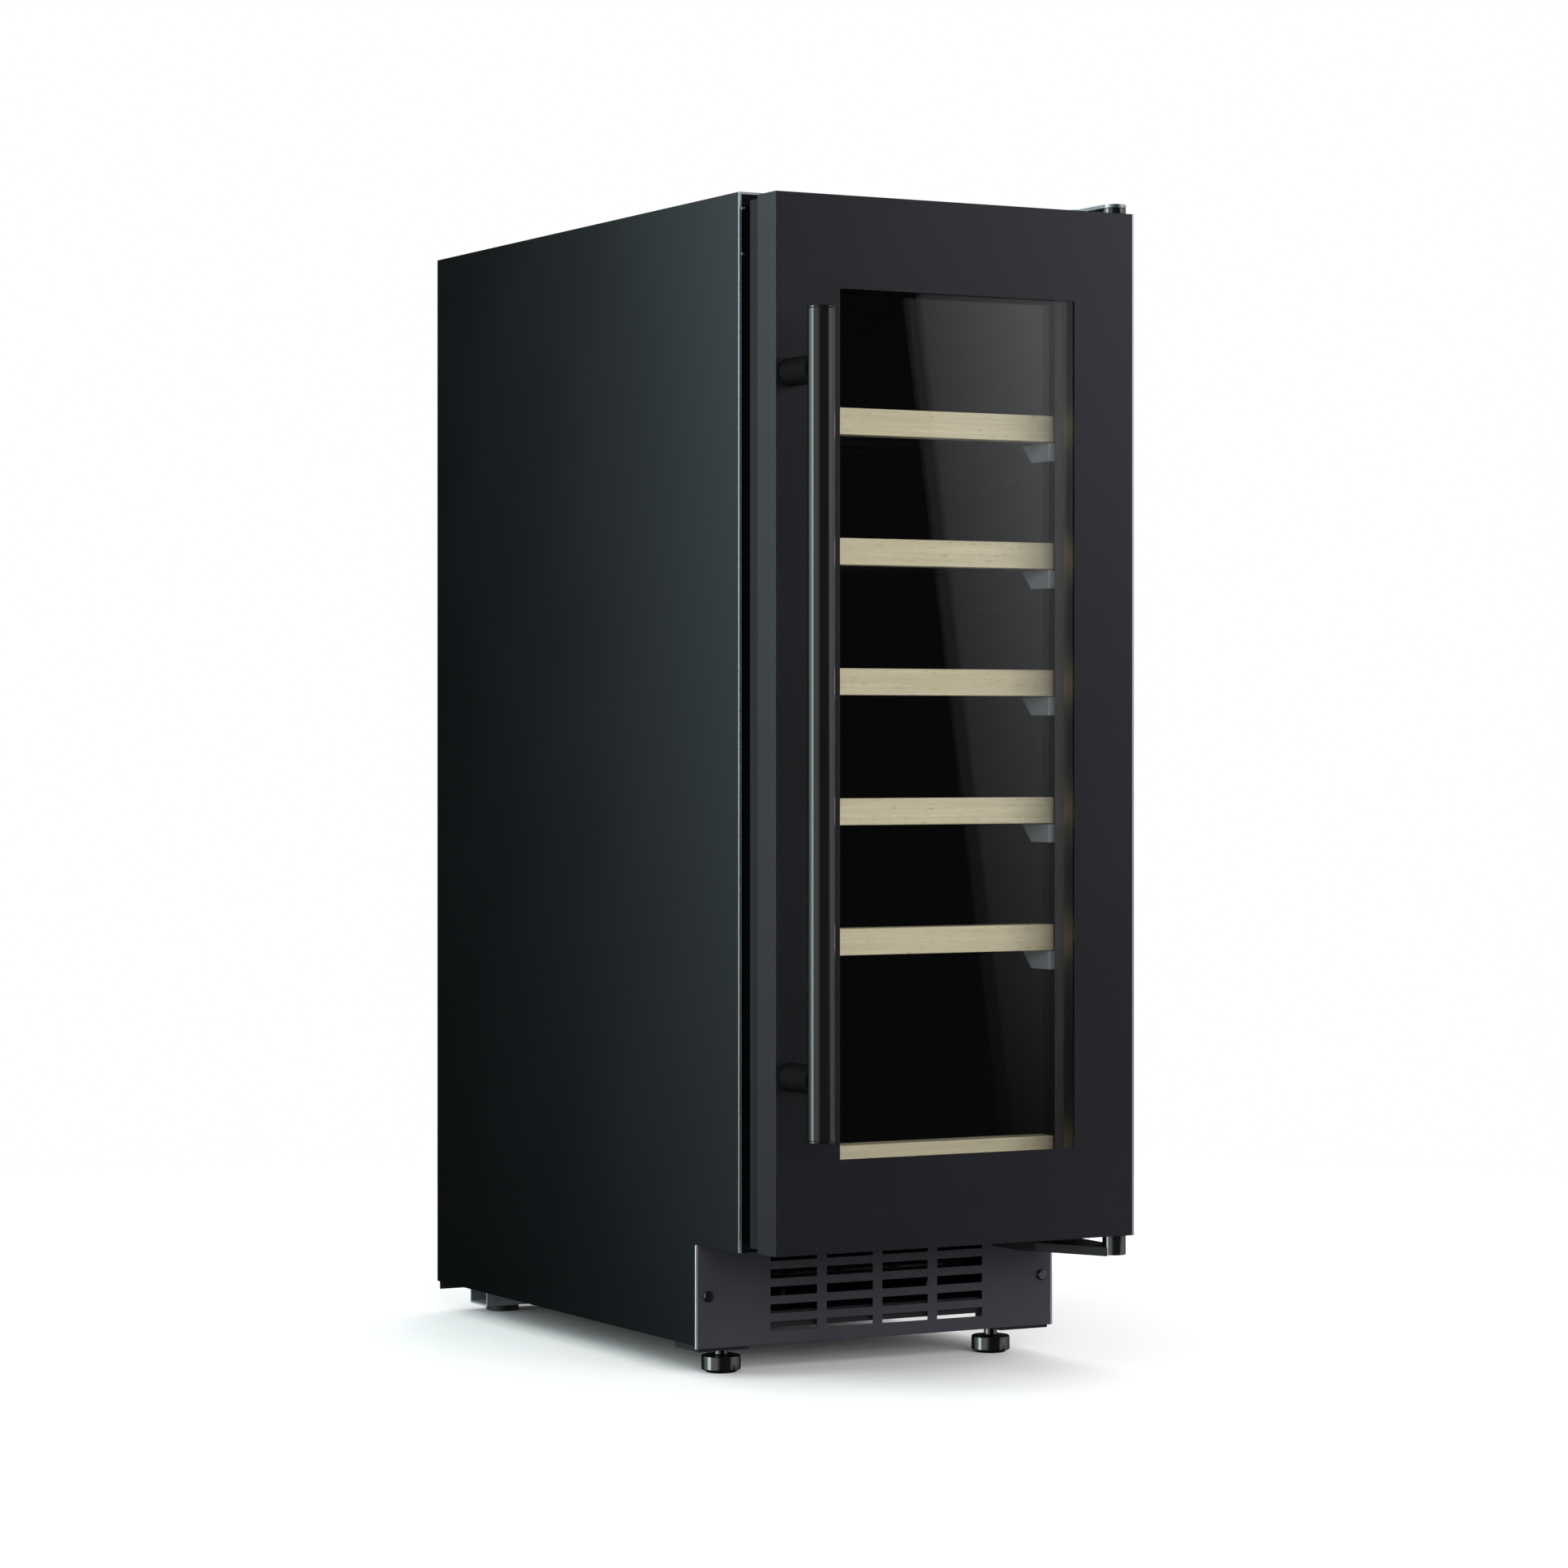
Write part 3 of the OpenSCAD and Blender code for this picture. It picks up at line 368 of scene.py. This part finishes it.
def touch_panel():
    """Gloss black plastic with soft finger marks and a row of round touch points."""
    t = Tree("touch_panel")
    marks = t.noise(70.0, 3.0)
    base = t.mix(marks, shade((0.003, 0.003, 0.004)), shade((0.006, 0.006, 0.007)))
    low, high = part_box("control_panel")
    x, _, z = t.axes()
    up = t.math("SUBTRACT", z, (low.z + high.z) / 2)
    beside = t.math("PINGPONG", x, TOUCH_PITCH / 2)
    squares = t.math("ADD", t.math("MULTIPLY", beside, beside), t.math("MULTIPLY", up, up))
    from_ring = t.math("ABSOLUTE", t.math("SUBTRACT", t.math("SQRT", squares), TOUCH_R))
    ring = t.math("LESS_THAN", from_ring, TOUCH_R / 4)
    base = t.mix(ring, base, shade((0.35, 0.37, 0.38)))
    return t.finish(Base_Color=base, Roughness=t.span(marks, 0.4, 0.7, 0.06, 0.22), IOR=1.5)


SHEET_GRAIN = (40.0, 300.0, 300.0)  # noise scales of sheet that is rolled along X
SPANGLE = 0.009

# The casing, door and kick plate carry painted edge highlights of bare metal on their front edges
MATERIALS = {
    "casing_paint": coated_metal("casing_paint", (0.0008, 0.0011, 0.0012), 0.17, tint=TEAL,
                                 edge_highlight_mask=casing_edges),
    "door_paint": coated_metal("door_paint", (0.0045, 0.0043, 0.0057), 0.34, tint=VIOLET,
                               edge_highlight_mask=door_edge),
    "handle_gloss": coated_metal("handle_gloss", (0.0035, 0.0038, 0.0042), 0.09, peel=0.000008),
    "window_glass": window_glass(),
    "spacer_bar": bare_metal("spacer_bar", (0.20, 0.18, 0.155), 0.5, (300.0, 300.0, 6.0)),
    "beech": beech(),
    "liner_plastic": moulded_plastic("liner_plastic", (0.0045, 0.0045, 0.005), 0.38),
    "black_plastic": moulded_plastic("black_plastic", (0.005, 0.005, 0.006), 0.45),
    "white_plastic": moulded_plastic("white_plastic", (0.62, 0.62, 0.58), 0.4),
    "diffuser": diffuser(),
    "gasket_rubber": rubber(),
    "galvanised_steel": bare_metal("galvanised_steel", (0.42, 0.44, 0.46), 0.42, SHEET_GRAIN, SPANGLE),
    "zinc_screw": bare_metal("zinc_screw", (0.50, 0.52, 0.53), 0.30, (900.0, 900.0, 900.0)),
    "black_steel": coated_metal("black_steel", (0.003, 0.0033, 0.0035), 0.12, peel=0.00001, ior=1.8),
    "kick_paint": coated_metal("kick_paint", (0.021, 0.021, 0.026), 0.40, tint=VIOLET,
                               edge_highlight_mask=kick_ends),
    "panel_paint": coated_metal("panel_paint", (0.006, 0.007, 0.0075), 0.42),
    "copper": bare_metal("copper", (0.62, 0.30, 0.18), 0.32, (300.0, 300.0, 20.0)),
    "fin_aluminium": bare_metal("fin_aluminium", (0.62, 0.64, 0.66), 0.35, (300.0, 300.0, 12.0)),
    "rail_plastic": rail_plastic(),
    "foam": foam(),
    "touch_panel": touch_panel(),
}

# Pieces whose look differs from the rest of their slot
SPECIAL = {
    "handle_posts": coated_metal("post_paint", (0.0040, 0.0042, 0.0040), 0.6, ior=1.1),
    "door_inner_frame": inner_frame_plastic(),
    # painted light: a lighter copy of the galvanised steel stands in for light on the rear rail
    "rear_rail": bare_metal("rail_zinc_painted_light", (0.66, 0.69, 0.74), 0.68, SHEET_GRAIN, SPANGLE),
    "bottom_hinge_plate": coated_metal("hinge_paint", (0.012, 0.013, 0.0135), 0.5, ior=1.25),
}

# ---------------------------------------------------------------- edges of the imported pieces

# Radius of the rounded edges of each finish, in metres
EDGE = {
    "casing_paint": 0.0007, "door_paint": 0.0006, "kick_paint": 0.0004, "beech": 0.0008,
    "galvanised_steel": 0.0003, "liner_plastic": 0.0006, "black_plastic": 0.0005,
    "black_steel": 0.0006, "handle_gloss": 0.0005, "window_glass": 0.0003, "panel_paint": 0.0003,
    "gasket_rubber": 0.0006, "diffuser": 0.0008, "touch_panel": 0.0003, "white_plastic": 0.0004,
    "rail_plastic": 0.0008,
}
NODE_EDGE = {"panel_screws": 0.0016, "left_foot": 0.0010, "right_foot": 0.0010, "kick_plate": 0.0005,
             "outer_casing": 0.0010}
SHARP = math.radians(30)
FLAT = math.radians(0.5)
SAME_POINT = 0.00001


def soften(obj, radius):
    """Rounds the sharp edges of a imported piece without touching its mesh."""
    weld = obj.modifiers.new("weld", "WELD")
    weld.merge_threshold = SAME_POINT
    flat = obj.modifiers.new("flat", "DECIMATE")
    flat.decimate_type = "DISSOLVE"
    flat.angle_limit = FLAT
    bevel = obj.modifiers.new("bevel", "BEVEL")
    bevel.width = radius
    bevel.segments = 2
    bevel.limit_method = "ANGLE"
    bevel.angle_limit = SHARP
    obj.modifiers.new("normals", "WEIGHTED_NORMAL")


for node, obj in NODES.items():
    slot = SLOT_OF[node]
    obj.data.materials.clear()
    obj.data.materials.append(SPECIAL.get(node) or MATERIALS[slot])
    radius = NODE_EDGE.get(node) or EDGE.get(slot)
    if radius:
        soften(obj, radius)

# ---------------------------------------------------------------- small pieces


def link(obj):
    bpy.context.scene.collection.objects.link(obj)
    return obj


DOME_RINGS, DOME_SIDES = 3, 20


def dome(name, at, radius, height, slot, node):
    """A small domed head on a face that looks to the front, carried with the body of a node."""
    rings, sides = DOME_RINGS, DOME_SIDES
    points = [(0.0, -height, 0.0)]
    for ring in range(1, rings + 1):
        turn = ring * math.pi / 2 / rings
        for side in range(sides):
            round_by = side * math.tau / sides
            points.append((radius * math.sin(turn) * math.cos(round_by), -height * math.cos(turn),
                           radius * math.sin(turn) * math.sin(round_by)))
    faces = [(0, 1 + side, 1 + (side + 1) % sides) for side in range(sides)]
    for ring in range(rings - 1):
        start = 1 + ring * sides
        for side in range(sides):
            after = (side + 1) % sides
            below = start + sides
            faces.append((start + side, below + side, below + after, start + after))
    mesh = bpy.data.meshes.new(name)
    mesh.from_pydata(points, [], faces)
    mesh.polygons.foreach_set("use_smooth", [True] * len(mesh.polygons))
    made = link(bpy.data.objects.new(name, mesh))
    made.location = at
    made.data.materials.append(MATERIALS[slot])
    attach(made, BODY_OF[node])


# Rivet heads on the front flange of the casing, in the gap beside the door
RIVET_R, RIVET_H = 0.0015, 0.0008
RIVET_PLACES = ((-0.1374, 0.0070), (-0.1446, 0.0115), (-0.1446, 0.0436))  # X, and how far down
for count, (x, down) in enumerate(RIVET_PLACES):
    place = (x, CASING_LOW.y, CASING_HIGH.z - down)
    dome("flange_rivet_%d" % count, place, RIVET_R, RIVET_H, "zinc_screw", "outer_casing")

# ---------------------------------------------------------------- floor and light


FLOOR_RADIUS, FLOOR_SIDES = 1.6, 96
FADE_START, FADE_END = 0.45, 0.98  # shares of the radius


def make_floor():
    """A round pale floor that fades into the backdrop at its rim."""
    turns = [side * math.tau / FLOOR_SIDES for side in range(FLOOR_SIDES)]
    ring = [(FLOOR_RADIUS * math.cos(turn), FLOOR_RADIUS * math.sin(turn), 0) for turn in turns]
    mesh = bpy.data.meshes.new("floor")
    mesh.from_pydata(ring, [], [list(range(FLOOR_SIDES))])
    floor = link(bpy.data.objects.new("floor", mesh))
    floor.location.z = FLOOR_Z
    t = Tree("floor")
    far = t.add("VectorMath", {0: t.place}, operation="LENGTH").outputs["Value"]
    fade = t.span(far, FADE_START * FLOOR_RADIUS, FADE_END * FLOOR_RADIUS)
    pale = t.mix(t.noise(60.0), shade((0.86, 0.86, 0.86)), shade((0.885, 0.885, 0.885)))
    t.finish(Base_Color=pale, Roughness=0.8)
    clear = t.add("BsdfTransparent")
    both = t.add("MixShader", {0: fade, 1: t.shader.outputs[0], 2: clear.outputs[0]})
    t.links.new(both.outputs[0], t.nodes["Material Output"].inputs["Surface"])
    floor.data.materials.append(t.material)
    floor.visible_glossy = False


def make_world():
    """White to the camera and to soft light, dark to reflections."""
    world = bpy.data.worlds.new("studio")
    bpy.context.scene.world = world
    world.use_nodes = True
    nodes, links = world.node_tree.nodes, world.node_tree.links
    sky = nodes["Background"]
    path = nodes.new("ShaderNodeLightPath")
    dim = nodes.new("ShaderNodeMapRange")
    links.new(path.outputs["Is Glossy Ray"], dim.inputs[0])
    dim.inputs[3].default_value = WORLD_SOFT
    dim.inputs[4].default_value = WORLD_MIRRORED
    shown = nodes.new("ShaderNodeMix")
    links.new(path.outputs["Is Camera Ray"], shown.inputs[0])
    links.new(dim.outputs[0], shown.inputs[2])
    shown.inputs[3].default_value = 1.0
    links.new(shown.outputs[0], sky.inputs["Strength"])
    sky.inputs["Color"].default_value = (1, 1, 1, 1)


def card(name, corners, colour, *ramps):
    """A lit panel that only reflections and soft light see. Its radiance is the product of its ramps:
    (direction, where it starts, where it ends, value at the start, value at the end)."""
    mesh = bpy.data.meshes.new(name)
    mesh.from_pydata(corners, [], [list(range(len(corners)))])
    panel = link(bpy.data.objects.new(name, mesh))
    t = Tree(name)
    strength = 1.0
    for direction, start, end, first, last in ramps:
        far = t.add("VectorMath", {0: t.place, 1: direction}, operation="DOT_PRODUCT").outputs["Value"]
        strength = t.math("MULTIPLY", t.span(far, start, end, first, last), strength)
    glow = t.add("Emission", {"Color": shade(colour), "Strength": strength})
    t.links.new(glow.outputs[0], t.nodes["Material Output"].inputs["Surface"])
    t.nodes.remove(t.shader)
    panel.data.materials.append(t.material)
    panel.visible_camera = False
    panel.visible_shadow = False


def lamp(name, at, toward, size, power):
    """A wide soft lamp that points at a place and isn't mirrored."""
    data = bpy.data.lights.new(name, "AREA")
    data.shape = "RECTANGLE"
    data.size, data.size_y = size
    data.energy = power
    made = link(bpy.data.objects.new(name, data))
    made.location = at
    made.rotation_euler = (Vector(toward) - Vector(at)).to_track_quat("-Z", "Y").to_euler()
    made.visible_glossy = False
    made.visible_camera = False


UP = (0, 0, 1)
WORLD_SOFT = 0.75
WORLD_MIRRORED = 0.015

make_floor()
make_world()

# Front right: the door and the window mirror it. Its left edge leans, so the mirrored edge does too.
FRONT_Y = -2.26
LEAN = 0.132
CARD_TOP, CARD_FOOT = 2.0, -0.5
FRONT_EDGE = 1.272  # where the leaning edge meets the floor
FRONT_END = 2.8
card("front_card",
     [(FRONT_EDGE - LEAN * CARD_TOP, FRONT_Y, CARD_TOP),
      (FRONT_EDGE - LEAN * CARD_FOOT, FRONT_Y, CARD_FOOT),
      (FRONT_END, FRONT_Y, CARD_FOOT), (FRONT_END, FRONT_Y, CARD_TOP)],
     (0.97, 0.97, 1.0), ((1, 0, LEAN), FRONT_EDGE, FRONT_EDGE + 0.8, 0.22, 1.75),
     (UP, -0.1, 1.6, 0.04, 1.6))
# Low at the front, where only the kick plate mirrors it
LOW_TOP = -0.18
LOW_START = 1.0
LOW_Y = FRONT_Y + 0.01
card("low_card",
     [(LOW_START, LOW_Y, CARD_FOOT), (FRONT_END, LOW_Y, CARD_FOOT),
      (FRONT_END, LOW_Y, LOW_TOP), (LOW_START, LOW_Y, LOW_TOP)],
     (0.95, 0.96, 1.0), ((1, 0, 0), LOW_START, LOW_START + 0.45, 0.0, 0.85))
# The right side draws the right edge of the handle and the other round pieces
RIGHT_END = 1.1
card("right_card",
     [(FRONT_END, FRONT_Y, CARD_FOOT), (FRONT_END, RIGHT_END, CARD_FOOT),
      (FRONT_END, RIGHT_END, CARD_TOP), (FRONT_END, FRONT_Y, CARD_TOP)],
     (0.97, 0.95, 1.0), ((0, 1, 0), -2.1, RIGHT_END, 1.4, 0.05), (UP, CARD_FOOT, 1.0, 0.7, 1.05))

SIDE_X = -1.6
CARD_COLOUR = (0.88, 1.0, 1.0)


def side_strip(name, y0, y1, colour, *ramps):
    """A card at the left, between two distances along Y."""
    corners = [(SIDE_X, y0, CARD_FOOT), (SIDE_X, y1, CARD_FOOT), (SIDE_X, y1, CARD_TOP),
               (SIDE_X, y0, CARD_TOP)]
    card(name, corners, colour, *ramps)


# Back left: the left side mirrors it, brightest towards the front and the top
BACK_FADE = ((0, 1, 0), 3.5, 2.25, 0.0, 1.1)
SIDE_START, BAND_BACK, BAND_FRONT = 1.37, 0.49, -0.14
side_strip("side_card", SIDE_START, 3.55, TEAL, BACK_FADE, BACK_FADE, BACK_FADE,
           (UP, -0.6, 1.3, 0.16, 1.05))
# Left: a bright band between two dimmer ones draws the left edge of the handle and other round pieces
side_strip("left_back", BAND_BACK, SIDE_START, CARD_COLOUR, (UP, 0.0, 1.0, 0.9, 2.2))
side_strip("left_band", BAND_FRONT, BAND_BACK, CARD_COLOUR, (UP, 0.0, 1.0, 6.0, 7.4))
side_strip("left_front", -2.4, BAND_FRONT, WHITE, ((0, 1, 0), -2.1, -1.1, 0.1, 0.95))

lamp("front_fill", (-0.3, -3.4, 1.2), (0, -0.2, 0.45), (3.6, 1.4), 150)
lamp("right_side", (2.4, 0.6, 1.0), (0.1, 0.0, 0.45), (1.2, 1.8), 20)
lamp("back_right", (1.5, 2.6, 1.4), (0, 0.2, 0.45), (1.4, 1.6), 24)
lamp("top", (0.2, 0.2, 2.6), (0, 0, 0.8), (1.2, 1.2), 12)

bpy.context.scene.view_settings.view_transform = "Standard"
